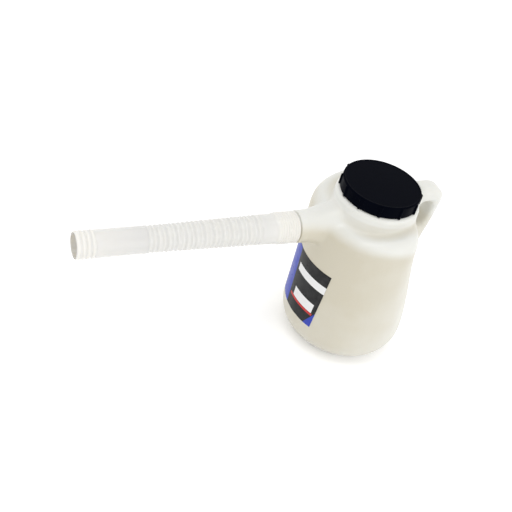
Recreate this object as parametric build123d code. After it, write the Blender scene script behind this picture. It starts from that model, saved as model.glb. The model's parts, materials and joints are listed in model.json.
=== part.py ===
from build123d import *
import os
from math import sqrt, tan, radians

# Oil measuring jug: a blow-moulded natural jug with a hollow handle, a screw lid
# and a long corrugated spout that turns on its stub and bends.
# Millimetres, +Z up. The origin lies on the resting face, at the centre of the
# base. The spout runs along -X and the handle is on the +X side.

# ---------------------------------------------------------------- jug shell
wall = 2.2                    # moulded wall of the jug
jug_radius = 92.5             # lower body, at the waist height and below
base_corner = 42.0            # big rounded edge round the base
back_depth = 49.0             # half-depth of the body behind its centre, at the shoulder
shoulder_height = 231.0       # crest of the shoulder beside the spout's root
shoulder_slope = 0.19         # its rise towards the handle
shoulder_datum = -63.0        # where it has that height
shoulder_rise = 31.0          # the walls run this much over it before the slope cuts them
shoulder_corner = 17.0        # rounded edge of the shoulder
front_lean = 7.0              # the shoulder's centre stands this far forward
corner_room = 2.0             # straight side under the shoulder's rounded edge
side_height = shoulder_height - shoulder_corner - corner_room
# share of that height, share of the lean, share of the way in to the shoulder's depth
body_sections = (
    (0.212, 0.0, 0.0),
    (0.425, 0.15, 0.2),
    (0.6, 0.3, 0.45),
    (0.8, 0.6, 0.75),
    (1.0, 1.0, 1.0),
)

# ---------------------------------------------------------------- neck and lid
neck_offset = 14.0            # the neck's axis stands this far towards the spout
neck_radius = 57.0            # waist of the neck
bead_radius = 60.5            # rolled bead under the lid
bead_round = 6.0              # from the bead's widest line up to the shelf
neck_height = 26.0            # shelf round the threaded finish, over the shoulder
neck_root = 11.0              # the neck starts this far under the shoulder
flare_rise = 2.0              # straight run of the flare
neck_flare = 8.0              # how much the neck widens into the shoulder
finish_radius = 52.0          # threaded finish, over the plain wall
finish_wall = 2.5
finish_height = 16.5          # threaded finish over the shelf
lid_radius = 55.9
lid_height = 17.8
lid_skirt_wall = 2.0
lid_plate = 2.0
lid_edge = 1.4
lug_count = 12
lug_reach = 2.4               # how far a lug stands out of the skirt
lug_width = 3.4
lug_drop = 1.8                # lugs start this far under the lid's top
liner_thickness = 1.5
liner_clearance = 0.4         # round the liner's rim

# ---------------------------------------------------------------- handle
handle_width = 32.0
handle_edge = 11.0            # rounded edges along the back of the grip
gap_edge = 4.0                # and round the finger gap
handle_wall = 3.2
handle_side_wall = 4.0
handle_reach = 94.0           # outermost point of the grip
handle_drop = 4.5             # its top, under the lid's top
handle_front_drop = 4.0       # the ear's top falls this much towards the neck
grip = 17.5                   # thickness of the grip behind the finger gap
grip_top = 24.5               # and over it
grip_bend = 60.0              # radius of the bends in its back
grip_crown = 24.0             # and of its top corner
grip_waist_inset = 4.5        # the back of the grip stands up from here
grip_waist_drop = 62.5
grip_foot_inset = 13.5        # and leaves the body here
grip_foot_drop = 122.5
lid_room = 3.0                # between the lid's lugs and the handle
ear_front = 30.0              # buried in the neck
ear_foot_inset = 26.0         # and in the body
ear_foot_drop = 167.5
gap_height = 56.0
gap_width = 24.0              # at its top
gap_foot_width = 9.0
gap_bend_height = 24.0        # the gap's back bends this far over its foot
gap_corner = 7.0
gap_tip = 4.0
gap_bend = 40.0

# ---------------------------------------------------------------- spout stub
spout_drop = 20.0             # axis of the spout under the shoulder
stub_radius = 18.0
stub_wall = 2.2
flare_length = 23.5           # conical web between the body and the stub
stub_length = 35.0
flare_radius = 34.0

# ---------------------------------------------------------------- flexible spout
collar_gap = 10.0             # bare stub between the web and the collar
collar_length = 32.0
collar_wall = 2.0
collar_ring = 0.8
collar_rings = 4
turn_clearance = 0.3          # collar on the stub
stub_seat = 0.5               # end of the stub to the step inside the collar
root_length = 25.0            # smooth stretch from the collar to the first bend
link_count = 12
link_length = 12.4
root_crest = 18.7             # outside radius of the first corrugation
tip_crest = 16.6              # and of the last
corrugation = 2.4             # depth of a corrugation
crest_base = 3.05             # width of a corrugation at its foot
crest_flat = 1.3              # and at its crest
first_crest = 1.2             # from the joint's centre
mid_valley = 2.7              # between the two corrugations of a link
ball_gap = 0.3                # ball in the socket of the next link
sleeve_wall = 0.9             # lip of the socket
ball_wall = 1.3
sleeve_reach = 0.6            # lip of the socket, back from the joint's centre
ball_reach = 2.5              # ball, each way from the joint's centre
socket_depth = 4.3
tip_length = 94.7             # from the last bend
tip_wall = 1.7
tip_ring = 0.7
tip_rings = 3
tip_ring_pitch = 5.4
tip_lip = 0.8

# ---------------------------------------------------------------- label
label_thickness = 0.3
label_low = 57.0
label_high = 150.0
label_half_angle = 33.0

neck_shelf = shoulder_height + neck_height
bead_height = neck_shelf - bead_round
finish_top = neck_shelf + finish_height
lid_top = finish_top + liner_thickness + lid_plate
handle_top = lid_top - handle_drop
spout_height = shoulder_height - spout_drop

# Places along the spout, measured from the neck's axis.
flare_end = jug_radius + front_lean - neck_offset + flare_length
stub_end = flare_end + stub_length
collar_start = flare_end + collar_gap
collar_end = collar_start + collar_length
first_joint = collar_end + root_length
tip_end = first_joint + link_count * link_length + tip_length


def on_neck(shape):
    """Move a shape from the origin to the axis of the neck."""
    return Pos(-neck_offset, 0, 0) * shape


def along_spout(*outline):
    """Turn an outline of (distance from the neck's axis, radius) round the spout."""
    points = [(-neck_offset - along, radius) for along, radius in outline]
    face = make_face(Polyline(*points, close=True))
    ring = revolve(Plane.XZ * face, Axis.X)
    return Pos(0, 0, spout_height) * ring


# ---------------------------------------------------------------- jug
def body_section(height, lean, draw, inset):
    """One level of the body: round in front, drawn in behind."""
    centre = (-front_lean * lean, 0)
    radius = jug_radius - inset
    depth = radius - draw * (jug_radius - back_depth)
    front = CenterArc(centre, radius, 90, 180)
    back = EllipticalCenterArc(centre, depth, radius, start_angle=-90, arc_size=180)
    return Pos(0, 0, height) * make_face(front + back)


def body_loft(inset):
    levels = [(inset, 0.0, 0.0)] + [
        (share * side_height, lean, draw) for share, lean, draw in body_sections
    ]
    levels.append((shoulder_height + shoulder_rise, 1.0, 1.0))
    return loft([body_section(*level, inset) for level in levels])


def body_form(inset):
    """The body with its rounded base and shoulder, drawn in by the inset."""
    body = body_loft(inset)
    low = body.edges().group_by(Axis.Z)[0]
    body = fillet(low, base_corner - inset)
    crest = Plane(
        origin=(shoulder_datum, 0, shoulder_height - inset), x_dir=(0, 1, 0), z_dir=(-shoulder_slope, 0, 1)
    )
    body = split(body, crest, keep=Keep.BOTTOM)
    return fillet(body.faces().sort_by(Axis.Z)[-1].edges(), shoulder_corner - inset)


def neck_form(inset):
    """Neck from inside the body up to its shelf: flare, waist and rolled bead."""
    flare = neck_radius + neck_flare - inset
    waist = neck_radius - inset
    bead = bead_radius - inset
    shelf = neck_shelf - inset
    root = shoulder_height - neck_root
    flare_top = shoulder_height + neck_flare + flare_rise
    side = (
        Polyline((0, root), (waist - neck_flare, root), (flare, shoulder_height - inset))
        + TangentArc((flare, shoulder_height - inset), (waist, flare_top), tangent=(-1, 0.35))
        + Spline((waist, flare_top), (bead, bead_height), tangents=((0, 1), (0, 1)))
        + JernArc((bead, bead_height), (0, 1), shelf - bead_height, 90)
        + Polyline((bead - shelf + bead_height, shelf), (0, shelf), (0, root))
    )
    return on_neck(revolve(Plane.XZ * make_face(side), Axis.Z))


def neck_finish():
    tube = Cylinder(finish_radius, finish_top - neck_shelf + wall, align=(Align.CENTER, Align.CENTER, Align.MIN))
    return on_neck(Pos(0, 0, neck_shelf - wall) * tube)


def neck_mouth():
    """The way in, from above the rim down into the neck."""
    depth = finish_top - neck_shelf + bead_radius - finish_radius
    hole = Cylinder(finish_radius - finish_wall, 2 * depth, align=(Align.CENTER, Align.CENTER, Align.MAX))
    return on_neck(Pos(0, 0, lid_top) * hole)


def lid_space(room):
    """Everything beside and above the lid, out to the lugs and some room more."""
    radius = lid_radius + lug_reach + lid_room + room
    disc = Cylinder(radius, lid_top, align=(Align.CENTER, Align.CENTER, Align.MIN))
    return on_neck(Pos(0, 0, neck_shelf - room) * disc)


def handle_outline():
    """Side view of the ear. Its front and its foot are buried in the jug."""
    return FilletPolyline(
        (ear_front, handle_top - ear_foot_drop),
        (handle_reach - ear_foot_inset, handle_top - ear_foot_drop),
        (handle_reach - grip_foot_inset, handle_top - grip_foot_drop),
        (handle_reach - grip_waist_inset, handle_top - grip_waist_drop),
        (handle_reach, handle_top), (ear_front, handle_top - handle_front_drop),
        radius=(0, 0, grip_bend, grip_bend, grip_crown, 0), close=True,
    )


def finger_gap_outline():
    """Side view of the gap, narrow at its foot."""
    back = handle_reach - grip
    top = handle_top - grip_top
    foot = top - gap_height
    return FilletPolyline(
        (back - gap_foot_width, foot), (back - gap_width, top), (back, top), (back, foot + gap_bend_height),
        radius=(gap_tip, gap_corner, gap_corner, gap_bend), close=True,
    )


def plate(outline, half_width):
    return extrude(Plane.XZ * make_face(outline), half_width, both=True)


def in_gap(place):
    """Whether a rim's middle is round the finger gap."""
    back = handle_reach - grip
    top = handle_top - grip_top
    return top - gap_height - 1 < place.Z < top + 1 and back - gap_width - 1 < place.X < back + 1


def handle_form():
    """Ear with a finger gap and rounded rims, cut away round the lid."""
    ear = plate(handle_outline(), handle_width / 2)
    sides = ear.faces().sort_by(Axis.Y)
    rims = (sides[0].edges() + sides[-1].edges()).filter_by(
        lambda rim: rim.center().X > ear_front + 1 and rim.center().Z > handle_top - ear_foot_drop + 1
    )
    ear = fillet(rims, handle_edge)
    ear -= plate(finger_gap_outline(), handle_width)
    gap_rims = ear.edges().filter_by(lambda rim: in_gap(rim.center()))
    return fillet(gap_rims, gap_edge) - lid_space(0)


def handle_hollow():
    outer = offset(make_face(handle_outline()), -handle_wall)
    gap = offset(make_face(finger_gap_outline()), handle_wall)
    hollow = extrude(Plane.XZ * (outer - gap), handle_width / 2 - handle_side_wall, both=True)
    return hollow - lid_space(handle_wall)


def stub_form(inset):
    """Conical web and stub, from inside the neck to the end of the stub."""
    start = neck_radius - neck_flare
    neck_on = Vector(-neck_offset - start, flare_radius - inset)
    stub_on = Vector(-neck_offset - flare_end, stub_radius - inset)
    far = Vector(-neck_offset - stub_end, stub_radius - inset)
    side = (
        Polyline((neck_on.X, 0), neck_on)
        + Spline(neck_on, stub_on, tangents=((-1, -0.75), (-1, 0)), tangent_scalars=(1.0, 1.0))
        + Polyline(stub_on, far, (far.X, 0), (neck_on.X, 0))
    )
    return Pos(0, 0, spout_height) * revolve(Plane.XZ * make_face(side), Axis.X)


def jug_body():
    outside = body_form(0) + neck_form(0) + neck_finish() + handle_form() + stub_form(0)
    inside = body_form(wall) + neck_form(wall) + neck_mouth() + handle_hollow()
    inside += stub_form(stub_wall) + along_spout(
        (flare_end, 0), (flare_end, stub_radius - stub_wall),
        (stub_end + wall, stub_radius - stub_wall), (stub_end + wall, 0),
    )
    return outside - inside


# ---------------------------------------------------------------- lid
def screw_lid():
    """Cap with a plain top, a rounded rim and upright lugs round the skirt."""
    bottom = lid_top - lid_height
    cap = Pos(0, 0, bottom) * Cylinder(lid_radius, lid_height, align=(Align.CENTER, Align.CENTER, Align.MIN))
    cap = fillet(cap.edges().sort_by(Axis.Z)[-1], lid_edge)
    height = lid_height - lug_drop
    lug = Pos(lid_radius, 0, bottom + height / 2) * Box(2 * lug_reach, lug_width, height)
    lug = fillet(lug.edges().filter_by(Axis.Z), lug_reach / 3)
    cap += PolarLocations(0, lug_count) * lug
    inner = lid_radius - lid_skirt_wall
    cap -= Pos(0, 0, bottom) * Cylinder(inner, lid_height - lid_plate, align=(Align.CENTER, Align.CENTER, Align.MIN))
    return on_neck(cap)


def lid_liner():
    radius = lid_radius - lid_skirt_wall - liner_clearance
    disc = Cylinder(radius, liner_thickness, align=(Align.CENTER, Align.CENTER, Align.MIN))
    return on_neck(Pos(0, 0, finish_top) * disc)


# ---------------------------------------------------------------- flexible spout
def joint_at(index):
    return first_joint + index * link_length


def crest_at(along):
    """Outside radius of the corrugations, which taper towards the tip."""
    share = (along - first_joint) / (link_count * link_length)
    return root_crest + share * (tip_crest - root_crest)


def ball_radius(index):
    """Ball on the end of one link, in the socket of the next."""
    return crest_at(joint_at(index)) - corrugation - sleeve_wall - ball_gap


def bore_radius(index):
    return ball_radius(index) - ball_wall


def ball_zone(index, radius, low, high):
    """Three points of an arc of a ball, low to high along the spout."""
    centre = joint_at(index)
    return [(centre + step, sqrt(radius**2 - step**2)) for step in (low, (low + high) / 2, high)]


def turned(*edges):
    """Revolve a profile of (distance from the neck's axis, radius) round the spout."""
    face = make_face(sum(edges[1:], edges[0]))
    at_spout = Plane(origin=(-neck_offset, 0, spout_height), x_dir=(-1, 0, 0), z_dir=(0, 1, 0))
    return revolve(at_spout * face, Axis((0, 0, spout_height), (1, 0, 0)))


def socket_side(index):
    """Inside of a socket: from its open lip to the step behind the ball."""
    socket = ball_radius(index) + ball_gap
    return ball_zone(index, socket, -sleeve_reach, socket_depth)


def link(index):
    """One rigid stretch of the bellows: socket, two corrugations and ball."""
    centre, following = joint_at(index), joint_at(index + 1)
    socket = socket_side(index)
    ball = ball_zone(index + 1, ball_radius(index + 1), -ball_reach, ball_reach)
    bore = bore_radius(index + 1)
    outline = [socket[0], (socket[0][0], crest_at(centre) - corrugation)]
    slope = (crest_base - crest_flat) / 2
    for start in (centre + first_crest, centre + first_crest + crest_base + mid_valley):
        crest = crest_at(start)
        outline += [
            (start, crest - corrugation), (start + slope, crest),
            (start + crest_base - slope, crest), (start + crest_base, crest - corrugation),
        ]
    outline += [ball[0]]
    inner = [(following + ball_reach, bore), (socket[2][0], bore), socket[2]]
    return turned(
        Polyline(*outline), ThreePointArc(*ball),
        Polyline(ball[2], *inner), ThreePointArc(*reversed(socket)),
    )


def spout_collar():
    """Root of the flexible spout: ringed collar on the stub, neck and first ball."""
    bore = bore_radius(0)
    inner = stub_radius + turn_clearance
    outer = inner + collar_wall
    valley = crest_at(first_joint) - corrugation
    ball = ball_zone(0, ball_radius(0), -ball_reach, ball_reach)
    pitch = (collar_end - collar_start) / (collar_rings + 0.5)
    outline = [(collar_start, inner), (collar_start, outer)]
    for ring in range(collar_rings):
        start = collar_start + pitch * (ring + 0.4)
        outline += [
            (start, outer), (start + pitch / 4, outer + collar_ring),
            (start + pitch / 2, outer + collar_ring), (start + 3 * pitch / 4, outer),
        ]
    last_crest = first_joint - ball_reach - crest_base
    slope = (crest_base - crest_flat) / 2
    outline += [
        (collar_end - 2, outer), (collar_end, root_crest), (last_crest + crest_base - slope, root_crest),
        (last_crest + crest_base, valley), ball[0],
    ]
    step = stub_end + stub_seat
    inside = [(first_joint + ball_reach, bore), (step + 6, bore), (step, inner - collar_wall), (step, inner)]
    return turned(Polyline(*outline), ThreePointArc(*ball), Polyline(ball[2], *inside, (collar_start, inner)))


def spout_tip():
    """Smooth end of the spout with its rings and rolled lip."""
    centre = joint_at(link_count)
    socket = socket_side(link_count)
    crest = tip_crest
    bore = crest - tip_wall
    valley = crest_at(centre) - corrugation
    slope = (crest_base - crest_flat) / 2
    outline = [
        socket[0], (socket[0][0], valley), (centre + first_crest, valley),
        (centre + first_crest + slope, crest),
    ]
    rings_start = tip_end - (tip_rings + 0.3) * tip_ring_pitch
    for ring in range(tip_rings):
        start = rings_start + ring * tip_ring_pitch
        outline += [
            (start, crest), (start + tip_ring_pitch / 5, crest + tip_ring),
            (start + 2 * tip_ring_pitch / 5, crest + tip_ring), (start + 3 * tip_ring_pitch / 5, crest),
        ]
    outline += [(tip_end - tip_lip, crest), (tip_end, crest - tip_lip)]
    inside = [(tip_end, bore), (socket[2][0] + corrugation, bore), socket[2]]
    return turned(Polyline(*outline, *inside), ThreePointArc(*reversed(socket)))


# ---------------------------------------------------------------- label
def label():
    """Self-adhesive label round the front of the body, below the spout."""
    depth = 2 * jug_radius
    half = depth * tan(radians(label_half_angle))
    sector = make_face(Polyline((0, 0), (-depth, half), (-depth, -half), close=True))
    band = extrude(Pos(0, 0, label_low) * sector, label_high - label_low)
    return (body_loft(-label_thickness) & band) - body_loft(0)


nodes = {
    "jug_body": jug_body(),
    "screw_lid": screw_lid(),
    "lid_liner": lid_liner(),
    "label": label(),
    "spout_collar": spout_collar(),
    "spout_tip": spout_tip(),
}
for index in range(link_count):
    nodes[f"bellows_link_{index + 1:02d}"] = link(index)

os.makedirs("parts", exist_ok=True)
for name, shape in nodes.items():
    export_step(shape, f"parts/{name}.step")
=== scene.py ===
# %% [markdown]
# # An oil jug with a flexible spout
#
# The jug is blown from natural polyethylene: a milky shell with a hollow ear
# handle, a black screw lid, and a long corrugated spout that turns and bends.
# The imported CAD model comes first, as a frame. It says where every piece sits
# and which body carries it, so nothing here has to be fitted by eye.

# %% Load the frame
import json
from math import cos, exp, pi, radians, sin

import bmesh
import bpy
import numpy as np
from mathutils import Matrix, Vector
from mathutils.bvhtree import BVHTree


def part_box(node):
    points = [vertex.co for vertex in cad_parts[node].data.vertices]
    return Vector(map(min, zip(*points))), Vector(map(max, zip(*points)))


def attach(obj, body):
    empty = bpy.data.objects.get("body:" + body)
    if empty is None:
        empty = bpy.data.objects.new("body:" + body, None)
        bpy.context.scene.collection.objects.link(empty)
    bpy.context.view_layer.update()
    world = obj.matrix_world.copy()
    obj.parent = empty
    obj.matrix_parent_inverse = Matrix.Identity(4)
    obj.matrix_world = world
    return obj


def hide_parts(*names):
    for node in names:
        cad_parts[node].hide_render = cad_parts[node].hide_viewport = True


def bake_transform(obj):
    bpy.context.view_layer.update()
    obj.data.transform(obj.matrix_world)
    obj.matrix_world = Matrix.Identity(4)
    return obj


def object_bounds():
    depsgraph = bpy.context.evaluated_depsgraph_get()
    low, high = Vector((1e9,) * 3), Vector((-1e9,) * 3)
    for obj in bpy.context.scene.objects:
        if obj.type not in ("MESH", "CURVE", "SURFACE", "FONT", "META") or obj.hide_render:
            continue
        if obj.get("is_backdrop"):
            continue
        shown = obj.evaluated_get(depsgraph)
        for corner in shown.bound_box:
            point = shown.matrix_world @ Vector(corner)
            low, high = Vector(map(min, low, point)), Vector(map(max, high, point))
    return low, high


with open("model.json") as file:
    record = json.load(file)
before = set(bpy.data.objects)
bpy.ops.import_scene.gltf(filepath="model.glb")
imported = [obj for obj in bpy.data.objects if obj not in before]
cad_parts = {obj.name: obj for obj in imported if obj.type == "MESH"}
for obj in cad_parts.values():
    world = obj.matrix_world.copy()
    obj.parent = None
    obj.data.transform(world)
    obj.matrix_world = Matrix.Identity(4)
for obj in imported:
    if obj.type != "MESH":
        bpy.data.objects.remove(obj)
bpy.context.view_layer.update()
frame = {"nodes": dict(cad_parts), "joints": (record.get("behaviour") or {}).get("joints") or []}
nodes = frame["nodes"]
joint_place = {joint["name"]: joint["pos_m"] for joint in frame["joints"] if "pos_m" in joint}

# %% [markdown]
# A few sizes are read back from the frame: the neck's axis, the spout's axis,
# and the places where the spout bends. The rest of the script is built on them.

# %% Sizes from the frame
mm = 0.001
lid_low, lid_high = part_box("screw_lid")
liner_low, liner_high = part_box("lid_liner")
_, collar_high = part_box("spout_collar")
tip_low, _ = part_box("spout_tip")

neck_x = (liner_low[0] + liner_high[0]) / 2
rim_height = liner_low[2]              # top of the threaded finish
spout_height = joint_place["bend_00"][2]
bend_count = sum(name.startswith("bend_") for name in joint_place)
bends = [joint_place[f"bend_{index:02d}"][0] for index in range(bend_count)]
bend_pitch = bends[0] - bends[1]       # the spout runs towards -X
print(f"neck axis x {neck_x:.4f}, spout height {spout_height:.4f}, {bend_count} bends")

# %% [markdown]
# ## Camera
#
# A camera is a point, a direction and a lens. This one looks down on the jug
# from beside the spout with its horizon tilted, so the frame is worked out from
# three angles: round the jug, above it, and the roll of the camera itself.

# %% Camera
camera_lens = 59.77                    # mm
camera_sensor = 36                     # mm wide
camera_round = radians(-33.5)
camera_above = radians(39.0)
camera_roll = radians(16.89)
camera_distance = 1.1579               # from the middle of the lid's top, along the view
lid_right, lid_up = 0.17303, 0.09943   # where the lid stands from the middle of the view

lid_middle = Vector((neck_x, 0, lid_high[2]))
back = Vector((
    sin(camera_round) * cos(camera_above), -cos(camera_round) * cos(camera_above), sin(camera_above)
))
level_right = Vector((0, 0, 1)).cross(back).normalized()
level_up = back.cross(level_right)
right = cos(camera_roll) * level_right + sin(camera_roll) * level_up
up = cos(camera_roll) * level_up - sin(camera_roll) * level_right

camera_data = bpy.data.cameras.new("camera")
camera_data.lens = camera_lens
camera_data.sensor_width = camera_sensor
camera_data.clip_start = 0.01
camera = bpy.data.objects.new("camera", camera_data)
bpy.context.scene.collection.objects.link(camera)
place = lid_middle - lid_right * right - lid_up * up + camera_distance * back
camera.matrix_world = Matrix.Translation(place) @ Matrix((right, up, back)).transposed().to_4x4()
bpy.context.scene.camera = camera
print("camera stands at", [round(value, 3) for value in place])

# %% [markdown]
# ## Light and floor
#
# The object stands on plain white under soft studio light. An even white world
# does most of the work, so that a colour renders about as it is written. A
# large lamp in front lifts the upright walls, which see less of the sky, and a
# small one overhead puts a highlight on the spout and the shoulder.

# %% Light and floor
scene = bpy.context.scene
scene.view_settings.view_transform = "Standard"

world = bpy.data.worlds.new("studio")
scene.world = world
world.use_nodes = True
world_light = 1.0
sky = world.node_tree.nodes["Background"]
sky.inputs["Color"].default_value = (1, 1, 1, 1)
sky.inputs["Strength"].default_value = world_light
print("world strength", sky.inputs["Strength"].default_value)


def area_lamp(name, place, target, size, power):
    """A soft square lamp that looks at a target."""
    data = bpy.data.lights.new(name, "AREA")
    data.shape = "SQUARE"
    data.size = size
    data.energy = power
    lamp = bpy.data.objects.new(name, data)
    lamp.location = place
    lamp.rotation_euler = (Vector(target) - Vector(place)).to_track_quat("-Z", "Y").to_euler()
    scene.collection.objects.link(lamp)


area_lamp("front lamp", place=(0.5, -1.3, 0.55), target=(0, 0, 0.12), size=1.3, power=3.5)
area_lamp("top lamp", place=(-0.35, -0.25, 1.7), target=(-0.1, 0, 0.15), size=0.4, power=2.5)


def new_object(name, vertices, faces):
    """A mesh object from plain lists, linked to the scene."""
    mesh = bpy.data.meshes.new(name)
    mesh.from_pydata([tuple(vertex) for vertex in vertices], [], faces)
    mesh.update()
    made = bpy.data.objects.new(name, mesh)
    scene.collection.objects.link(made)
    return made


floor_reach = 6.0
floor = new_object(
    "floor",
    [(-floor_reach, -floor_reach, 0), (floor_reach, -floor_reach, 0),
     (floor_reach, floor_reach, 0), (-floor_reach, floor_reach, 0)],
    [(0, 1, 2, 3)],
)
floor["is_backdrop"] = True
print("2 lamps and a floor", floor_reach * 2, "m wide")

# %% [markdown]
# ## Finishes
#
# Three effects are shared by several materials, so each is a node group that is
# built once. Mottle is the faint cloudiness of blown plastic, specks are the
# few dark grains that get moulded in, and fine grain is the soft unevenness
# that keeps a satin surface from looking like a mirror.

# %% Shared effects


def node_group(name, inputs, outputs):
    """An empty shader group with named number inputs and outputs."""
    group = bpy.data.node_groups.new(name, "ShaderNodeTree")
    for label, value in inputs.items():
        socket = group.interface.new_socket(label, in_out="INPUT", socket_type="NodeSocketFloat")
        socket.default_value = value
    for label in outputs:
        group.interface.new_socket(label, in_out="OUTPUT", socket_type="NodeSocketFloat")
    return group, group.nodes.new("NodeGroupInput"), group.nodes.new("NodeGroupOutput")


def add_node(tree, kind, inputs=None, **settings):
    """A node with its settings and input values or links."""
    node = tree.nodes.new(kind)
    for key, value in settings.items():
        setattr(node, key, value)
    for key, value in (inputs or {}).items():
        if isinstance(value, bpy.types.NodeSocket):
            tree.links.new(value, node.inputs[key])
        else:
            node.inputs[key].default_value = value
    return node


def maths(tree, operation, first, second=0.0, clamp=False):
    """One arithmetic node; each side is a number or a socket."""
    node = add_node(
        tree, "ShaderNodeMath", {0: first, 1: second}, operation=operation, use_clamp=clamp
    )
    return node.outputs[0]


def product(tree, first, *others):
    """All the values multiplied together."""
    for value in others:
        first = maths(tree, "MULTIPLY", first, value)
    return first


def smooth_step(tree, value, low, high):
    """0 below low, 1 above high, and a soft step between."""
    node = add_node(
        tree, "ShaderNodeMapRange",
        {"Value": value, "From Min": low, "From Max": high}, interpolation_type="SMOOTHSTEP",
    )
    return node.outputs["Result"]


def soft_end(tree, value, low, high):
    """1 below low, 0 above high, and the same soft step between."""
    return maths(tree, "SUBTRACT", 1.0, smooth_step(tree, value, low, high))


mottle, given, result = node_group("Mottle", {"Size": 0.03, "Depth": 0.5}, ["Cloud"])
coordinates = add_node(mottle, "ShaderNodeTexCoord").outputs["Object"]
scale = maths(mottle, "DIVIDE", 1.0, given.outputs["Size"])
clouds = add_node(
    mottle, "ShaderNodeTexNoise",
    {"Vector": coordinates, "Scale": scale, "Detail": 3.0, "Roughness": 0.55},
)
centred = maths(mottle, "SUBTRACT", clouds.outputs["Fac"], 0.5)
mottle.links.new(maths(mottle, "MULTIPLY", centred, given.outputs["Depth"]), result.inputs["Cloud"])

specks, given, result = node_group("Specks", {"Spacing": 0.03, "Size": 0.0006}, ["Speck"])
coordinates = add_node(specks, "ShaderNodeTexCoord").outputs["Object"]
scale = maths(specks, "DIVIDE", 1.0, given.outputs["Spacing"])
cells = add_node(
    specks, "ShaderNodeTexVoronoi", {"Vector": coordinates, "Scale": scale, "Randomness": 1.0}
)
reach = maths(specks, "MULTIPLY", given.outputs["Size"], scale)
near = maths(specks, "LESS_THAN", cells.outputs["Distance"], reach)
specks.links.new(near, result.inputs["Speck"])

fine_grain, given, result = node_group("Fine grain", {"Size": 0.0008}, ["Height"])
coordinates = add_node(fine_grain, "ShaderNodeTexCoord").outputs["Object"]
scale = maths(fine_grain, "DIVIDE", 1.0, given.outputs["Size"])
grains = add_node(
    fine_grain, "ShaderNodeTexNoise", {"Vector": coordinates, "Scale": scale, "Detail": 2.0}
)
fine_grain.links.new(grains.outputs["Fac"], result.inputs["Height"])
print("3 shared effects")


def use_group(tree, group, **values):
    """Places a shared effect in a material with its own values."""
    node = tree.nodes.new("ShaderNodeGroup")
    node.node_tree = group
    for key, value in values.items():
        node.inputs[key].default_value = value
    return node


# %% [markdown]
# Natural polyethylene is milky: light goes in, scatters and comes out a few
# millimetres away, which rounds every edge. Subsurface scattering gives that.
# Its colour drifts a little with the wall's thickness, so the clouds go
# into the base colour, and the roughness follows the same clouds.

# %% Milky polyethylene
cloud_depth = 1.4
cloud_share = 0.35                     # of the clouds, where the place on the wall counts too
rough_drift = 0.12                     # how far the gloss follows the clouds
speck_spacing, speck_size, speck_share = 0.045, 0.0007, 0.75
speck_tone = (0.16, 0.12, 0.09, 1)
scatter_reach = (1.0, 0.95, 0.85)      # red light goes a little further than blue
skin_grain, skin_bump, skin_bump_height = 0.004, 0.15, 0.0004


def mixed(tree, share, first, second):
    """A colour between two, by a share."""
    node = add_node(tree, "ShaderNodeMix", data_type="RGBA")
    for index, value in ((0, share), (6, first), (7, second)):
        if isinstance(value, bpy.types.NodeSocket):
            tree.links.new(value, node.inputs[index])
        else:
            node.inputs[index].default_value = value
    return node.outputs[2]


def plain_material(name, roughness, specular=0.5):
    """A node material with its shader's constants set on the shader itself."""
    made = bpy.data.materials.new(name)
    made.use_nodes = True
    shader = made.node_tree.nodes["Principled BSDF"]
    shader.inputs["Roughness"].default_value = roughness
    shader.inputs["Specular IOR Level"].default_value = specular
    return made, made.node_tree, shader


def milky_plastic(
    name, light, deep, roughness, scatter, scatter_depth, cloud_size, place_share=None
):
    """Blown polyethylene between a light and a deep tone, with a few specks."""
    made, tree, shader = plain_material(name, roughness)
    cloud = use_group(tree, mottle, Size=cloud_size, Depth=cloud_depth).outputs["Cloud"]
    share = maths(tree, "ADD", cloud, 0.5, clamp=True)
    if place_share is not None:
        drift = maths(tree, "MULTIPLY", cloud, cloud_share)
        share = maths(tree, "ADD", place_share(tree), drift, clamp=True)
    speck = use_group(tree, specks, Spacing=speck_spacing, Size=speck_size).outputs["Speck"]
    tone = mixed(tree, share, light, deep)
    speckled = mixed(tree, maths(tree, "MULTIPLY", speck, speck_share), tone, speck_tone)
    tree.links.new(speckled, shader.inputs["Base Color"])
    rough = maths(tree, "ADD", maths(tree, "MULTIPLY", cloud, rough_drift), roughness)
    tree.links.new(rough, shader.inputs["Roughness"])
    shader.inputs["Subsurface Weight"].default_value = scatter
    shader.inputs["Subsurface Radius"].default_value = scatter_reach
    shader.inputs["Subsurface Scale"].default_value = scatter_depth
    bump = add_node(tree, "ShaderNodeBump", {"Strength": skin_bump, "Distance": skin_bump_height})
    grain = use_group(tree, fine_grain, Size=skin_grain).outputs["Height"]
    tree.links.new(grain, bump.inputs["Height"])
    tree.links.new(bump.outputs["Normal"], shader.inputs["Normal"])
    return made


spout_plastic = milky_plastic(
    "spout plastic", light=(0.79, 0.775, 0.735, 1), deep=(0.755, 0.735, 0.685, 1),
    roughness=0.26, scatter=0.5, scatter_depth=0.003, cloud_size=0.07,
)
tip_plastic = milky_plastic(
    "tip plastic", light=(0.84, 0.815, 0.765, 1), deep=(0.81, 0.78, 0.72, 1),
    roughness=0.24, scatter=0.65, scatter_depth=0.0045, cloud_size=0.07,
)
print("milky plastics:", spout_plastic.name, tip_plastic.name)

# %% [markdown]
# The jug's upright sides and the hollow round the neck's foot get a darker, warmer tone, which is
# painted shade. The shoulder above and the side towards the handle stay paler, which is painted
# light. The tone could be painted on the mesh. Here it follows the place on the object, so it needs
# no painting and can be exported.

# %% The jug's tone, with painted shade and painted light
# painted shade: the upright sides are darker and warmer than the base
warm_rise = (0.03, 0.15)               # heights over which the base turns into the side
base_share = 0.75                      # warmth of the base against the side
# painted light: the shoulder and the side towards the handle are paler
warm_top = (0.214, 0.232)              # the shoulder above is pale
handle_side, handle_share = (-0.07, 0.07), 0.5   # paler towards the handle
# painted shade in the hollow round the neck's foot, up to the spout's root
foot_inner, foot_outer = (0.056, 0.064), (0.066, 0.080)   # radii round the neck
foot_low, foot_high = (0.226, 0.236), (0.244, 0.248)      # heights
foot_front, foot_share = (-0.085, -0.06), 0.6    # it ends at the spout's root


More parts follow.
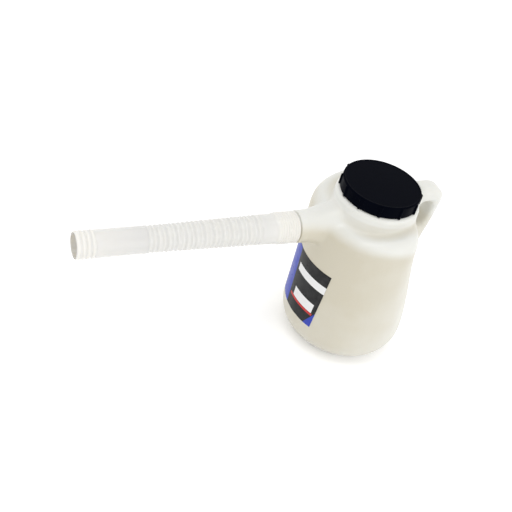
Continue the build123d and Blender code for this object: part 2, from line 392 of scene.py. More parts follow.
def painted_shade_share(tree):
    """Share of the deep tone, which is painted shade: most on the upright sides and in the hollow
    round the neck's foot, less on the shoulder and towards the handle, where the paler tone is
    painted light.
    """
    coordinates = add_node(tree, "ShaderNodeTexCoord").outputs["Object"]
    place = add_node(tree, "ShaderNodeSeparateXYZ", {0: coordinates})
    along, up = place.outputs["X"], place.outputs["Z"]
    rise = maths(tree, "MULTIPLY", smooth_step(tree, up, *warm_rise), 1 - base_share)
    above = maths(tree, "ADD", rise, base_share)
    below = soft_end(tree, up, *warm_top)
    paler = maths(tree, "MULTIPLY", smooth_step(tree, along, *handle_side), handle_share)
    sides = product(tree, above, below, maths(tree, "SUBTRACT", 1.0, paler))
    from_axis = maths(tree, "SQRT", maths(
        tree, "ADD", maths(tree, "POWER", maths(tree, "SUBTRACT", along, neck_x), 2.0),
        maths(tree, "POWER", place.outputs["Y"], 2.0),
    ))
    foot = product(
        tree, smooth_step(tree, from_axis, *foot_inner), soft_end(tree, from_axis, *foot_outer),
        smooth_step(tree, up, *foot_low), foot_share,
        smooth_step(tree, along, *foot_front), soft_end(tree, up, *foot_high),
    )
    return maths(tree, "MAXIMUM", sides, foot)


# The deep tone is painted shade and the paler tone on the shoulder is painted light, both placed by
# the share above.
jug_plastic = milky_plastic(
    "jug plastic", light=(0.75, 0.75, 0.71, 1), deep=(0.60, 0.56, 0.45, 1),
    roughness=0.34, scatter=0.3, scatter_depth=0.001, cloud_size=0.05, place_share=painted_shade_share,
)
print("the jug's plastic:", jug_plastic.name)

# %% [markdown]
# The lid is moulded from a blue-black plastic with a satin face. The liner is
# foam with fine cells, and its colour is broken up by the same clouds.

# %% Lid and liner


def dense_plastic(name, colour, roughness, grain_size, grain_height, specular=0.5):
    """Solid moulded plastic: one colour, a satin gloss that drifts, fine grain."""
    made, tree, shader = plain_material(name, roughness, specular)
    cloud = use_group(tree, mottle, Size=0.02, Depth=1.0).outputs["Cloud"]
    lighter = tuple(min(1, value * 1.3 + 0.0005) for value in colour[:3]) + (1,)
    share = maths(tree, "ADD", cloud, 0.5, clamp=True)
    tree.links.new(mixed(tree, share, colour, lighter), shader.inputs["Base Color"])
    rough = maths(tree, "ADD", maths(tree, "MULTIPLY", cloud, 0.1), roughness)
    tree.links.new(rough, shader.inputs["Roughness"])
    bump = add_node(tree, "ShaderNodeBump", {"Strength": 0.2, "Distance": grain_height})
    grain = use_group(tree, fine_grain, Size=grain_size).outputs["Height"]
    tree.links.new(grain, bump.inputs["Height"])
    tree.links.new(bump.outputs["Normal"], shader.inputs["Normal"])
    return made


lid_plastic = dense_plastic(
    "lid plastic", (0.0006, 0.0011, 0.0034, 1), roughness=0.34,
    grain_size=0.0009, grain_height=0.0002, specular=0.012,
)
liner_foam = dense_plastic(
    "liner foam", (0.80, 0.80, 0.78, 1), roughness=0.8, grain_size=0.0012, grain_height=0.0006
)
print("lid and liner:", lid_plastic.name, "and", liner_foam.name)

# %% [markdown]
# ## The jug's shell
#
# A blown shell has no sharp inside corners: where the spout's root, the neck
# and the ear meet the body, the plastic flows. CAD leaves crisp seams there.
# So the shell is remade from its own CAD solid: the mouth and the stub are
# plugged, the closed form is rebuilt from small voxels, the seams are relaxed,
# the plugs are sliced off again, and the skin gets its wall back.

# %% Rebuild the shell
shell_voxel = 1.5 * mm
shell_wall = 2.2 * mm
finish_radius = 52 * mm
stub_radius = 18 * mm
stub_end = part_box("jug_body")[0][0]    # the stub reaches furthest towards -X
plug_steps = 96                        # points round a plug


def add_plug(mesh, low_radius, high_radius, depth, matrix):
    """A closed cylinder or cone that fills a hole in the shell."""
    bmesh.ops.create_cone(
        mesh, cap_ends=True, segments=plug_steps, radius1=low_radius, radius2=high_radius,
        depth=depth, matrix=matrix,
    )


def evaluated(obj):
    """The object's mesh with its modifiers applied."""
    graph = bpy.context.evaluated_depsgraph_get()
    return bpy.data.meshes.new_from_object(obj.evaluated_get(graph))


def keep_largest_island(mesh):
    """Deletes every loose part except the one with the widest box."""
    left = set(mesh.verts)
    islands = []
    while left:
        seed = left.pop()
        island, front = [seed], [seed]
        while front:
            vertex = front.pop()
            for edge in vertex.link_edges:
                other = edge.other_vert(vertex)
                if other in left:
                    left.discard(other)
                    island.append(other)
                    front.append(other)
        xs = [vertex.co.x for vertex in island]
        islands.append((max(xs) - min(xs), island))
    islands.sort(key=lambda entry: entry[0])
    for _, island in islands[:-1]:
        bmesh.ops.delete(mesh, geom=island, context="VERTS")
    return len(islands)


plugged = bmesh.new()
plugged.from_mesh(nodes["jug_body"].data)
neck_plug_low, plug_reach = rim_height - 12 * mm, 12 * mm
neck_plug_depth = rim_height + plug_reach - neck_plug_low
add_plug(
    plugged, finish_radius, finish_radius, neck_plug_depth,
    Matrix.Translation((neck_x, 0, neck_plug_low + neck_plug_depth / 2)),
)
stub_plug_depth = 2 * plug_reach
add_plug(
    plugged, stub_radius, stub_radius, stub_plug_depth,
    Matrix.Translation((stub_end, 0, spout_height)) @ Matrix.Rotation(pi / 2, 4, "Y"),
)
# The solid's wall has two narrow gaps under the neck's flare, one on each side of
# the ear. The real shell has none, so a cone across the inside closes them.
seal_low, seal_high = 224 * mm, 230.5 * mm
seal_low_radius, seal_high_radius = 58.2 * mm, 61.8 * mm
add_plug(
    plugged, seal_low_radius, seal_high_radius, seal_high - seal_low,
    Matrix.Translation((neck_x, 0, (seal_low + seal_high) / 2)),
)
shell = new_object("jug_shell", [], [])
plugged.to_mesh(shell.data)
plugged.free()
remesh = shell.modifiers.new("voxels", "REMESH")
remesh.mode = "VOXEL"
remesh.voxel_size = shell_voxel
closed = evaluated(shell)
shell.modifiers.clear()
outside = bmesh.new()
outside.from_mesh(closed)
islands = keep_largest_island(outside)
print(f"{islands} closed surfaces, the outer one has {len(outside.verts)} points")
outside.to_mesh(shell.data)
outside.free()

# %% [markdown]
# The rebuilt skin is worked on as one array of points, which numpy moves all
# at once. Relaxing moves each point towards its neighbours. A first weak pass
# over the whole shell takes the voxel steps out of the surface.

# %% Take the steps out of the skin
light_strength, light_rounds = 0.12, 12


def link_pairs(mesh):
    """The two points of every edge."""
    pairs = np.empty(len(mesh.edges) * 2, dtype=np.int64)
    mesh.edges.foreach_get("vertices", pairs)
    return pairs.reshape(-1, 2)


def points_of(mesh):
    """The places of all points."""
    values = np.empty(len(mesh.vertices) * 3)
    mesh.vertices.foreach_get("co", values)
    return values.reshape(-1, 3)


def relax(points, pairs, strength, rounds):
    """Moves points towards their neighbours' average, each with its own strength."""
    count = np.bincount(pairs.ravel(), minlength=len(points))[:, None]
    for _ in range(rounds):
        total = np.zeros_like(points)
        for axis in range(3):
            total[:, axis] = np.bincount(
                pairs.ravel(), weights=points[pairs[:, ::-1].ravel(), axis], minlength=len(points)
            )
        points = points + strength[:, None] * (total / count - points)
    return points


skin = points_of(shell.data)
pairs = link_pairs(shell.data)
skin = relax(skin, pairs, np.full(len(skin), light_strength), light_rounds)
print(f"{len(skin)} points relaxed {light_rounds} times")

# %% [markdown]
# Two places of the real shell are fuller than the solid. Under its bead the
# neck has hardly any waist, and the stub grows out of the shoulder with a wide
# root. Points that lie inside a wanted outline are pushed out to it, so the
# rest of the skin stays where the solid has it.

# %% Fill the neck's waist and the stub's root
waist_heights = np.array([228, 236, 243, 250]) * mm
waist_radii = np.array([62.0, 61.4, 60.8, 60.2]) * mm
neck_core = 50 * mm                    # the bore's own points stay
shelf_low, shelf_high = 253 * mm, 258.2 * mm
shelf_radius, shelf_ramp, shelf_lift = 52.6 * mm, 3 * mm, 1.1 * mm
root_places = np.array([-132.6, -120, -110, -104, -99, -92, -84, -78, -73]) * mm
root_radii = np.array([21.9, 22.9, 24.2, 25.8, 27.6, 29.6, 32.0, 35, 38.5]) * mm
side_root = 27 * mm                    # the flare grows past this only towards the neck
root_core = 5 * mm                     # points on the axis stay


def widen_root(points):
    """Gives the stub the wide root that the collar butts against."""
    radii = np.hypot(points[:, 1], points[:, 2] - spout_height)
    upward = np.clip((points[:, 2] - spout_height) / np.maximum(radii, 1 * mm), 0, 1) ** 2
    wanted = np.interp(points[:, 0], root_places, root_radii)
    wanted = np.minimum(wanted, side_root) + np.maximum(wanted - side_root, 0) * upward
    along_root = (points[:, 0] > root_places[0]) & (points[:, 0] < root_places[-1])
    narrow = along_root & (radii < wanted) & (radii > root_core)
    grown = np.where(narrow, wanted / np.maximum(radii, 1 * mm), 1.0)
    points[:, 1] *= grown
    points[:, 2] = spout_height + (points[:, 2] - spout_height) * grown
    return int(narrow.sum())


def fill_neck(points):
    """Fills the waist under the neck's bead and lifts the shelf that the lid sits over."""
    radii = np.hypot(points[:, 0] - neck_x, points[:, 1])
    heights = points[:, 2]
    wanted = np.interp(heights, waist_heights, waist_radii)
    in_waist = (heights > waist_heights[0]) & (heights < waist_heights[-1])
    narrow = in_waist & (radii < wanted) & (radii > neck_core)
    grown = np.where(narrow, wanted / np.maximum(radii, 1 * mm), 1.0)
    points[:, 0] = neck_x + (points[:, 0] - neck_x) * grown
    points[:, 1] *= grown
    shelf = (heights > shelf_low) & (heights < shelf_high) & (radii > shelf_radius)
    ramp = np.clip((heights - shelf_low) / shelf_ramp, 0, 1)
    points[:, 2] += np.where(shelf, shelf_lift * ramp, 0)
    return int(narrow.sum())


print(f"{fill_neck(skin)} points moved out to the neck's foot")
print(f"{widen_root(skin)} points moved out to the stub's root")

# %% [markdown]
# A second, strong relaxing works only where the parts of the shell run
# together, so that a soft web grows there. The base, the threaded finish and
# the stub's end keep their form, because other pieces stand or fit on them.

# %% Soften the seams
soft_strength, soft_rounds = 0.5, 90
soft_zones = (
    # where the spout's root leaves the shoulder and the neck
    ((-0.088, 0, 0.212), (0.026, 0.052, 0.046)),
    # where the ear leaves the body, and where it joins the neck
    ((0.055, 0, 0.19), (0.030, 0.040, 0.075)),
    ((0.045, 0, 0.10), (0.060, 0.100, 0.130)),
    ((0.078, 0, 0.266), (0.020, 0.035, 0.014)),
    ((0.042, 0, 0.245), (0.016, 0.034, 0.016)),
)
foot_radius, foot_half_width = 62 * mm, 7 * mm       # the ring where the neck meets the shoulder
foot_start, foot_ramp, foot_softness = 220 * mm, 6 * mm, 0.6
flat_base, base_ramp = 10 * mm, 20 * mm
finish_kept, stub_kept = 21 * mm, 20 * mm


def zone(points, centre, reach):
    """1 inside an ellipsoid round centre, falling to 0 at one and a half times its size."""
    distance = np.linalg.norm((points - np.array(centre)) / np.array(reach), axis=1)
    return np.clip((1.5 - distance) / 0.5, 0, 1)


softness = np.zeros(len(skin))
for centre, reach in soft_zones:
    softness = np.maximum(softness, zone(skin, centre, reach))
foot_gap = np.abs(np.hypot(skin[:, 0] - neck_x, skin[:, 1]) - foot_radius) / foot_half_width
foot_band = np.clip(1.4 - foot_gap, 0, 1) * np.clip((skin[:, 2] - foot_start) / foot_ramp, 0, 1)
softness = np.maximum(softness, foot_softness * foot_band)
softness *= np.clip((skin[:, 2] - flat_base) / base_ramp, 0, 1)
finish_band = skin[:, 2] > rim_height - finish_kept
stub_band = skin[:, 0] < stub_end + stub_kept
softness[finish_band | stub_band] = 0
skin = relax(skin, pairs, soft_strength * softness, soft_rounds)
shell.data.vertices.foreach_set("co", skin.ravel())
print(f"{int((softness > 0).sum())} of {len(skin)} points softened")

# %% [markdown]
# The plugs have done their work. Two plane cuts open the mouth and the stub
# again, and a solidify modifier gives the single skin the thickness of a blown
# wall, inwards, so that the outside stays in its place.

# %% Cut the plugs off and give the skin its wall


def smooth_shade(obj, sharp_angle):
    """Soft shading, with an edge kept sharp where it bends by more than the angle."""
    for face in obj.data.polygons:
        face.use_smooth = True
    obj.data.set_sharp_from_angle(angle=radians(sharp_angle))


def slice_off(mesh, place, direction):
    """Cuts a mesh with a plane and removes the side the direction points to."""
    bmesh.ops.bisect_plane(
        mesh, geom=mesh.verts[:] + mesh.edges[:] + mesh.faces[:],
        plane_co=place, plane_no=direction, clear_outer=True,
    )


opened = bmesh.new()
opened.from_mesh(shell.data)
slice_off(opened, (0, 0, rim_height), (0, 0, 1))
slice_off(opened, (stub_end, 0, 0), (-1, 0, 0))
opened.normal_update()
shell_skin = BVHTree.FromBMesh(opened)
opened.to_mesh(shell.data)
opened.free()
wall = shell.modifiers.new("wall", "SOLIDIFY")
wall.thickness = shell_wall
wall.offset = -1
walled = evaluated(shell)
shell.modifiers.clear()
shell.data = walled
shell.data.materials.clear()
shell.data.materials.append(jug_plastic)
smooth_shade(shell, 50)
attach(shell, "jug")
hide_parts("jug_body")
print(f"shell: {len(shell.data.polygons)} faces")

# %% [markdown]
# ## The thread on the neck
#
# Under the lid the neck carries a thread: one rounded ridge that climbs round
# the finish and fades at both ends. A ridge like this is a strip of rings, each
# a small closed outline, swept along a helix and sunk a little into the wall.

# %% Neck thread
thread_pitch = 4.5 * mm
thread_turns = 1.75
thread_reach = 0.75 * mm
thread_width = 2.2 * mm
thread_sunk = 0.5 * mm
thread_start = rim_height - 11.5 * mm
thread_steps = 150
thread_fade = 14                       # each end fades over one part in this many


def tube_faces(rings, around):
    """Quads between rings of points, with both ends closed."""
    faces = []
    for ring in range(rings - 1):
        for step in range(around):
            after = (step + 1) % around
            low, high = ring * around, (ring + 1) * around
            faces.append((low + step, low + after, high + after, high + step))
    faces.append(tuple(range(around))[::-1])
    faces.append(tuple((rings - 1) * around + step for step in range(around)))
    return faces


def helix_ridge(name, radius, start, turns, reach, width):
    """A thread's ridge round the neck's axis, tapered at both ends."""
    section = [(-0.5, -1), (-0.5, 0.0), (-0.2, 1), (0.2, 1), (0.5, 0.0), (0.5, -1)]
    vertices = []
    for step in range(thread_steps):
        share = step / (thread_steps - 1)
        angle = share * turns * 2 * pi
        fade = min(1, share * thread_fade, (1 - share) * thread_fade)
        height = start + share * turns * thread_pitch
        for across, out in section:
            at = radius + (out * reach * fade if out > 0 else out * thread_sunk)
            vertices.append((
                neck_x + at * cos(angle), at * sin(angle), height + across * width * max(fade, 0.3)
            ))
    return new_object(name, vertices, tube_faces(thread_steps, len(section)))


neck_thread = helix_ridge(
    "neck_thread", finish_radius, thread_start, thread_turns, thread_reach, thread_width
)
neck_thread.data.materials.append(jug_plastic)
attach(neck_thread, "jug")
print(f"thread: {thread_turns} turns, crest radius {(finish_radius + thread_reach) / mm:.2f} mm")

# %% [markdown]
# ## The flexible spout
#
# The real spout is one thin tube. Its corrugations are rounded rings with narrow valleys between
# them. CAD splits it into rigid links, so that it can bend in steps. Here it is one smooth skin
# again: each stretch reaches from the middle of one link to the middle of the next, over the joint
# between them, so at rest its ends meet its neighbours'.

# %% The spout's outline
tube_steps = 72                        # points round the spout
corrugations_per_link = 2
corrugation_pitch = bend_pitch / corrugations_per_link
corrugation_depth = 0.95 * mm
valley_shape = 0.85                    # below 1 the valleys are wider at the bottom
tube_wall = 0.9 * mm
root_radius = 20.3 * mm
tip_radius = 17.6 * mm
first_bend, last_bend = -bends[0], -bends[-1]   # distances towards -X
corrugation_count = corrugations_per_link * (bend_count - 1)


def crest_radius(along):
    """Outside of the tube without its valleys; it narrows towards the tip."""
    share = min(1, max(0, (along - first_bend) / (last_bend - first_bend)))
    return root_radius + share * (tip_radius - root_radius)


def valley_depth(along):
    """How deep the corrugations cut at a place along the spout."""
    position = (along - first_bend) / corrugation_pitch
    nearest = min(corrugation_count, max(0, round(position)))
    offset = abs(position - nearest) * 2
    if offset >= 1:
        return 0.0
    return corrugation_depth * (0.5 + 0.5 * cos(pi * offset)) ** valley_shape


def face_outward(obj):
    """Turns every face of a closed mesh to look outwards."""
    mesh = bmesh.new()
    mesh.from_mesh(obj.data)
    bmesh.ops.recalc_face_normals(mesh, faces=mesh.faces)
    mesh.to_mesh(obj.data)
    mesh.free()


def spout_piece(name, outline, material=spout_plastic):
    """Turns a closed outline of (distance towards -X, radius) round the spout's axis."""
    vertices, faces = [], []
    steps, count = tube_steps, len(outline)
    for along, radius in outline:
        for step in range(steps):
            angle = 2 * pi * step / steps
            vertices.append((-along, radius * cos(angle), spout_height + radius * sin(angle)))
    for row in range(count):
        following = (row + 1) % count
        for step in range(steps):
            after = (step + 1) % steps
            faces.append((
                row * steps + step, row * steps + after,
                following * steps + after, following * steps + step,
            ))
    piece = new_object(name, vertices, faces)
    face_outward(piece)
    piece.data.materials.append(material)
    smooth_shade(piece, 40)
    return piece


def even_places(start, end, rows):
    """Places from start to end, evenly apart."""
    return [start + (end - start) * row / rows for row in range(rows + 1)]


def tube_stretch(start, end, rows):
    """Closed outline of a stretch of thin corrugated tube."""
    places = even_places(start, end, rows)
    outer = [(along, crest_radius(along) - valley_depth(along)) for along in places]
    inner = [(along, radius - tube_wall) for along, radius in outer]
    return outer + inner[::-1]


print(f"{corrugation_count} corrugations, {corrugation_pitch / mm:.2f} mm apart")

# %% [markdown]
# Each joint of the spout gets one stretch of tube, centred on it.

# %% The stretches of bellows
rows_per_pitch = 12
link_rows = rows_per_pitch * corrugations_per_link
half_link = bend_pitch / 2
for index, place in enumerate(bends):
    middle = -place
    stretch = spout_piece(
        f"bellows_{index:02d}_skin",
        tube_stretch(middle - half_link, middle + half_link, link_rows),
    )
    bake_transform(stretch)
    if 0 < index:
        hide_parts(f"bellows_link_{index:02d}")
print(f"{bend_count} stretches of bellows")

# %% [markdown]
# The root of the spout is a collar that grips the stub, with rounded rings for
# the fingers. The tip is a plain tube with four rings and a rolled lip. Each
# ring is a bump in the outline, so one small function serves them both.

# %% Collar and tip
collar_reach = 21.4 * mm
collar_length = 32 * mm
collar_inside = 18.3 * mm
collar_ring = 0.55 * mm
collar_pitch = 3.6 * mm
collar_ring_count = 8
collar_ring_width = 3.0 * mm
collar_first_ring = 2.6 * mm
collar_round = 1.2 * mm
collar_drop = (-1 * mm, 3.5 * mm)      # where it steps down to the tube, from its edge
ring_shape = 0.7                       # below 1 the rings are fuller
collar_start = -collar_high[0]


def rounded_rings(along, first, pitch, count, width, reach):
    """Height of a row of rounded rings at a place along the spout."""
    for ring in range(count):
        offset = abs(along - first - ring * pitch) / (width / 2)
        if offset < 1:
            return reach * (1 - offset ** 2) ** ring_shape
    return 0.0


def corner(along, edge, radius):
    """How much a rounded corner at an edge takes off the radius."""
    inside = (along - edge) / radius
    return radius * (1 - (1 - (1 - inside) ** 2) ** 0.5) if 0 <= inside < 1 else 0.0


def soft_drop(along, start, end):
    """0 before start, 1 after end, and a soft step between."""
    share = min(1, max(0, (along - start) / (end - start)))
    return share * share * (3 - 2 * share)


def collar_outside(along):
    """Outside radius of the collar."""
    edge = collar_start + collar_length
    body = collar_reach - corner(along, collar_start, collar_round)
    rings = rounded_rings(
        along, collar_start + collar_first_ring, collar_pitch, collar_ring_count,
        collar_ring_width, collar_ring,
    )
    drop = soft_drop(along, edge + collar_drop[0], edge + collar_drop[1])
    return (body + rings) * (1 - drop) + root_radius * drop


collar_stop = first_bend - half_link
collar_rows = 110
collar_outline = [
    (along, collar_outside(along)) for along in even_places(collar_start, collar_stop, collar_rows)
]
stub_clearance = 0.5 * mm
stub_stop = -stub_end + stub_clearance
collar_outline += [
    (collar_stop, root_radius - tube_wall), (stub_stop + 5 * mm, root_radius - tube_wall),
    (stub_stop, collar_inside - 2 * mm), (stub_stop, collar_inside), (collar_start, collar_inside),
]
collar = spout_piece("collar", collar_outline)
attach(collar, "spout_root")
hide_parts("spout_collar")

tip_start = last_bend + half_link
tip_stop = -tip_low[0]
tip_ring = 1.0 * mm
tip_groove = 0.45 * mm                # the tube is a little narrower between them
tip_pitch = 6.2 * mm
tip_ring_count = 4
tip_ring_width = 4.6 * mm
lip_round = 1.1 * mm
first_ring = tip_stop - (tip_ring_count - 1) * tip_pitch - 2.6 * mm


def tip_outside(along):
    """Outside radius of the tip."""
    lip = corner(2 * tip_stop - along, tip_stop, lip_round)
    groove = tip_groove * soft_drop(along, first_ring - 6 * mm, first_ring - 2 * mm)
    return tip_radius - lip - groove + rounded_rings(
        along, first_ring, tip_pitch, tip_ring_count, tip_ring_width, tip_ring
    )


tip_rows = 150
tip_wall = 1.4 * mm
tip_outline = [(along, tip_outside(along)) for along in even_places(tip_start, tip_stop, tip_rows)]
tip_outline += [(tip_stop - 0.4 * mm, tip_radius - tip_wall), (tip_start, tip_radius - tube_wall)]
tip = spout_piece("tip", tip_outline, tip_plastic)
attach(tip, "spout_tip")
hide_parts("spout_tip")
print(f"collar {collar_length / mm:.0f} mm with {collar_ring_count} rings")
print(f"tip with {tip_ring_count} rings")

# %% [markdown]
# ## The lid
#
# The lid is one wall that goes down the outside, under the rim, up the inside
# and across. Its lugs are swellings of the skirt, so the whole lid can be one
# grid: rings of points round the axis, where the radius of each ring depends
# on the angle. The points of a ring stand closer together across a lug.

# %% Screw lid
lid_radius = 55.9 * mm
lid_top = lid_high[2]
lid_bottom = lid_low[2]
lid_round = 1.9 * mm
skirt_wall = 2.0 * mm
lug_count = 12
lug_reach = 2.3 * mm
lug_half_width = 1.75 * mm
lug_top = lid_top - 2.0 * mm
lug_top_round = 1.3 * mm
lug_span = 2.2                         # half-widths to the end of a lug's close points
lug_sharpness = 5                      # how steep its sides are
lid_dish = 0.5 * mm                    # the flat top lies a little under its rim
lid_rim_width = 3.0 * mm
lid_edge = 0.35 * mm                   # chamfer at the foot of the skirt
lid_edge_rise = 0.5 * mm
lug_fade = 2.2 * mm                    # the lug has its full reach this far under its top
inner_thread_reach = 0.22 * mm

across_lug = [share * lug_half_width for share in (
    -lug_span, -1.45, -1.15, -0.98, -0.8, -0.5, 0, 0.5, 0.8, 0.98, 1.15, 1.45
)]
plain_steps = 6


def lid_angles():
    """Angles round the lid, close together on the lugs."""
    angles = []
    for lug in range(lug_count):
        middle = 2 * pi * lug / lug_count
        start = middle + lug_span * lug_half_width / lid_radius
        gap = 2 * pi / lug_count - 2 * lug_span * lug_half_width / lid_radius
        angles += [middle + place / lid_radius for place in across_lug]
        angles += [start + gap * step / plain_steps for step in range(plain_steps)]
    return angles


def lug_swell(angle, height):
    """How far the skirt stands out at an angle and a height."""
    step = 2 * pi / lug_count
    offset = (angle + step / 2) % step - step / 2
    across = abs(offset) * lid_radius / lug_half_width
    side = exp(-(across ** lug_sharpness))
    down = (lug_top - height) / lug_top_round
    if down <= 0:
        return 0.0
    top = (1 - (1 - min(1, down)) ** 2) ** 0.5
    return lug_reach * side * top


def lid_rows():
    """Outline of the lid from the middle of its top round to the middle underneath.

    Each row is a radius, a height and a kind: 1 where the lugs swell it, 2 where the
    inner thread cuts it, and 0 where it is plain."""
    rows = [(radius * mm, lid_top - lid_dish, 0) for radius in (6, 16, 27, 38, 47, 50.2)]
    inner_rim = lid_radius - lid_rim_width
    rows += [
        (inner_rim - 0.5 * mm, lid_top - lid_dish, 0), (inner_rim, lid_top - lid_dish * 0.8, 0),
        (inner_rim + 0.3 * mm, lid_top - lid_dish * 0.2, 0), (inner_rim + 0.7 * mm, lid_top, 0),
    ]
    for step in range(7):
        turn = pi / 2 * step / 6
        rows.append((
            lid_radius - lid_round * (1 - sin(turn)), lid_top - lid_round * (1 - cos(turn)), 1
        ))
    for down in (0.15 * mm, 0.4 * mm, 0.8 * mm, 1.3 * mm, lug_fade):
        rows.append((lid_radius, lug_top - down, 1))
    skirt_rows = 6
    skirt_drop = lid_bottom + lid_edge_rise - lug_top + lug_fade
    for row in range(1, skirt_rows + 1):
        rows.append((lid_radius, lug_top - lug_fade + skirt_drop * row / skirt_rows, 1))
    rows.append((lid_radius - lid_edge, lid_bottom, 1))
    inside = lid_radius - skirt_wall
    rows.append((inside + lid_edge, lid_bottom, 0))
    thread_rows = 30
    ceiling = rim_height + (liner_high[2] - liner_low[2])
    for row in range(thread_rows):
        climb = (ceiling - lid_bottom - 0.6 * mm) * row / (thread_rows - 1)
        rows.append((inside, lid_bottom + lid_edge_rise + climb, 2))
    rows += [(inside - 0.5 * mm, ceiling, 0), (30 * mm, ceiling, 0), (8 * mm, ceiling, 0)]
    return rows


def inner_thread(angle, height):
    """Shallow thread inside the skirt."""
    turn = ((height - lid_bottom) / thread_pitch - angle / (2 * pi)) % 1
    return inner_thread_reach * exp(-(((turn - 0.5) * 5) ** 4))


def screw_lid_mesh():
    """Points and faces of the lid."""
    angles, rows = lid_angles(), lid_rows()
    around = len(angles)
    vertices, faces = [], []
    for radius, height, kind in rows:
        for angle in angles:
            at = radius
            if kind == 1:
                at += lug_swell(angle, height)
            if kind == 2:
                at -= inner_thread(angle, height)
            vertices.append((neck_x + at * cos(angle), at * sin(angle), height))
    for row in range(len(rows) - 1):
        for step in range(around):
            after = (step + 1) % around
            faces.append((
                (row + 1) * around + step, (row + 1) * around + after,
                row * around + after, row * around + step,
            ))
    for row, height in ((0, rows[0][1]), (len(rows) - 1, rows[-1][1])):
        middle = len(vertices)
        vertices.append((neck_x, 0, height))
        for step in range(around):
            after = (step + 1) % around
            pair = (row * around + step, row * around + after)
            faces.append((middle,) + (pair if row == 0 else pair[::-1]))
    return vertices, faces


lid = new_object("lid", *screw_lid_mesh())
face_outward(lid)
lid.data.materials.append(lid_plastic)
smooth_shade(lid, 42)
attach(lid, "lid")
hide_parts("screw_lid")

nodes["lid_liner"].data.materials.clear()
nodes["lid_liner"].data.materials.append(liner_foam)
print(f"lid {2 * lid_radius / mm:.1f} mm across with {lug_count} lugs")

# %% [markdown]
# ## The label
#
# The label is a thin film that follows the shell. Rays are sent at the shell
# from outside, one for each point of a grid in angle and height, and the film
# lies a hair over the points they hit. Its print is plain blocks of colour,
# placed by angle and height, with no words.

# %% Label film
label_low, label_high = 51 * mm, 155 * mm
label_half_angle = radians(32)
label_taper = 0.12                      # the body widens downwards, the label does not
label_columns, label_rows = 60, 48
film = 0.25 * mm
film_gap = 0.04 * mm
ray_start = 0.3                        # m from the jug's axis, well outside it


def film_points(lift):
    """Grid of points that lies over the shell by lift."""
    points = []
    for row in range(label_rows + 1):
        height = label_low + (label_high - label_low) * row / label_rows
        for column in range(label_columns + 1):
            half = label_half_angle * (1 - label_taper * (1 - row / label_rows))
            angle = half * (2 * column / label_columns - 1)
            inward = Vector((cos(angle), sin(angle), 0))
            start = Vector((0, 0, height)) - ray_start * inward
            hit, _, _, _ = shell_skin.ray_cast(start, inward)
            points.append(hit - lift * inward)
    return points


columns = label_columns + 1
count = columns * (label_rows + 1)
film_faces = []
for row in range(label_rows):
    for column in range(label_columns):
        first = row * columns + column
        quad = (first, first + 1, first + columns + 1, first + columns)
        film_faces.append(quad)
        film_faces.append(tuple(count + place for place in quad[::-1]))
rim = list(range(columns))
rim += [row * columns + label_columns for row in range(1, label_rows + 1)]
rim += [label_rows * columns + column for column in range(label_columns - 1, -1, -1)]
rim += [row * columns for row in range(label_rows - 1, 0, -1)]
for index, place in enumerate(rim):
    after = rim[(index + 1) % len(rim)]
    film_faces.append((after, place, count + place, count + after))
label = new_object("label_film", film_points(film_gap + film) + film_points(film_gap), film_faces)
face_outward(label)
smooth_shade(label, 50)
print(f"label film: {len(label.data.polygons)} faces")

# %% [markdown]
# The print is made in the material. Two numbers say where a point lies on the
# label: across it and up it, each from 0 to 1. A block of ink is a rectangle in
# those numbers, and each block is laid over the ones before it.

# %% Printed blocks
printed, tree, shader = plain_material("printed film", 0.4, specular=0.15)
coordinates = add_node(tree, "ShaderNodeTexCoord").outputs["Object"]
place = add_node(tree, "ShaderNodeSeparateXYZ", {0: coordinates})
turn = maths(
    tree, "ARCTAN2", maths(tree, "MULTIPLY", place.outputs["Y"], -1.0),
    maths(tree, "MULTIPLY", place.outputs["X"], -1.0),
)
label_up = maths(
    tree, "DIVIDE", maths(tree, "SUBTRACT", place.outputs["Z"], label_low), label_high - label_low
)
half = maths(tree, "ADD", maths(tree, "MULTIPLY", label_up, label_taper), 1 - label_taper)
# 0 at the left edge as one looks at the label, 1 at the right edge
label_across = maths(tree, "ADD", maths(
    tree, "DIVIDE", maths(tree, "DIVIDE", turn, 2 * label_half_angle), half
), 0.5)


def block(low_across, high_across, low_up, high_up):
    """1 inside a rectangle of the label."""
    return product(
        tree,
        maths(tree, "GREATER_THAN", label_across, low_across),
        maths(tree, "LESS_THAN", label_across, high_across),
        maths(tree, "GREATER_THAN", label_up, low_up),
        maths(tree, "LESS_THAN", label_up, high_up),
    )


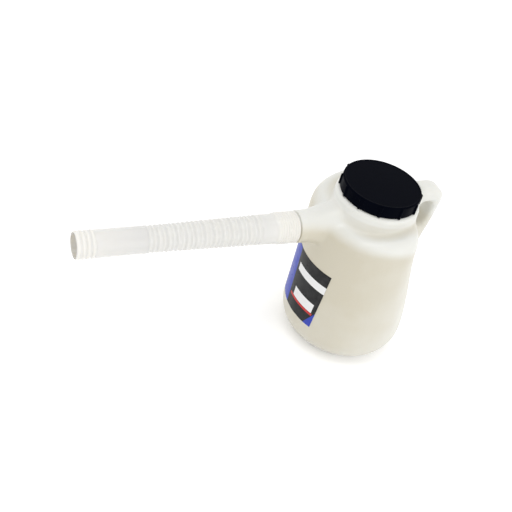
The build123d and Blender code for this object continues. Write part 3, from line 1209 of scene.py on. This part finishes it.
ink_black, ink_blue = (0.007, 0.007, 0.008, 1), (0.03, 0.055, 0.42, 1)
ink_white, ink_red = (0.80, 0.80, 0.80, 1), (0.55, 0.03, 0.03, 1)
blocks = (
    (ink_blue, (0.0, 0.34, 0.0, 1.0)),          # stripe down one side
    (ink_white, (0.40, 1.0, 0.66, 0.79)),       # band under the heading
    (ink_red, (0.38, 0.95, 0.195, 0.235)),      # line under the panel
    (ink_white, (0.47, 0.93, 0.24, 0.40)),      # plain panel
)
print_colour = ink_black
for ink, edges in blocks:
    print_colour = mixed(tree, block(*edges), print_colour, ink)
# a blue corner, cut off at a slant
corner_width, corner_height = 0.15, 0.27
from_edge = maths(tree, "SUBTRACT", 1.0, label_across)
slant = maths(
    tree, "ADD", maths(tree, "DIVIDE", from_edge, corner_width),
    maths(tree, "DIVIDE", label_up, corner_height),
)
print_colour = mixed(tree, maths(tree, "LESS_THAN", slant, 1.0), print_colour, ink_blue)
wear = use_group(tree, mottle, Size=0.012, Depth=0.5).outputs["Cloud"]
rubbed = maths(tree, "MULTIPLY", maths(tree, "ADD", wear, 0.1, clamp=True), 0.15)
paler = mixed(tree, rubbed, print_colour, ink_white)
tree.links.new(paler, shader.inputs["Base Color"])
tree.links.new(maths(tree, "ADD", wear, 0.34), shader.inputs["Roughness"])
label.data.materials.append(printed)
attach(label, "jug")
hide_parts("label")
print(f"{len(blocks)} printed blocks and a corner")

# %% [markdown]
# ## Floor
#
# The floor is white card. It takes the object's soft shadow. For the camera, and
# in mirrors and glass, it gives off just enough light of its own to be plain
# white where nothing shades it. Matt surfaces are not lit by it.

# %% Floor finish
floor_glow = 0.16
card_white, card_shade = (0.97, 0.97, 0.97, 1), (0.94, 0.94, 0.94, 1)
card, tree, shader = plain_material("white card", 0.9, specular=0.1)
card_cloud = use_group(tree, mottle, Size=0.5, Depth=0.2).outputs["Cloud"]
tree.links.new(mixed(tree, card_cloud, card_white, card_shade), shader.inputs["Base Color"])
path = add_node(tree, "ShaderNodeLightPath")
seen = maths(tree, "MAXIMUM", path.outputs["Is Camera Ray"], maths(
    tree, "MAXIMUM", path.outputs["Is Glossy Ray"], path.outputs["Is Transmission Ray"]
))
shader.inputs["Emission Color"].default_value = (1, 1, 1, 1)
tree.links.new(maths(tree, "MULTIPLY", seen, floor_glow), shader.inputs["Emission Strength"])
floor.data.materials.append(card)
print("floor:", card.name)

# %% Sizes and finish
shown_box = [list(corner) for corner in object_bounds()]
for word, low, high in zip("XYZ", shown_box[0], shown_box[1]):
    print(f"{word}: {low:.4f} to {high:.4f} m")
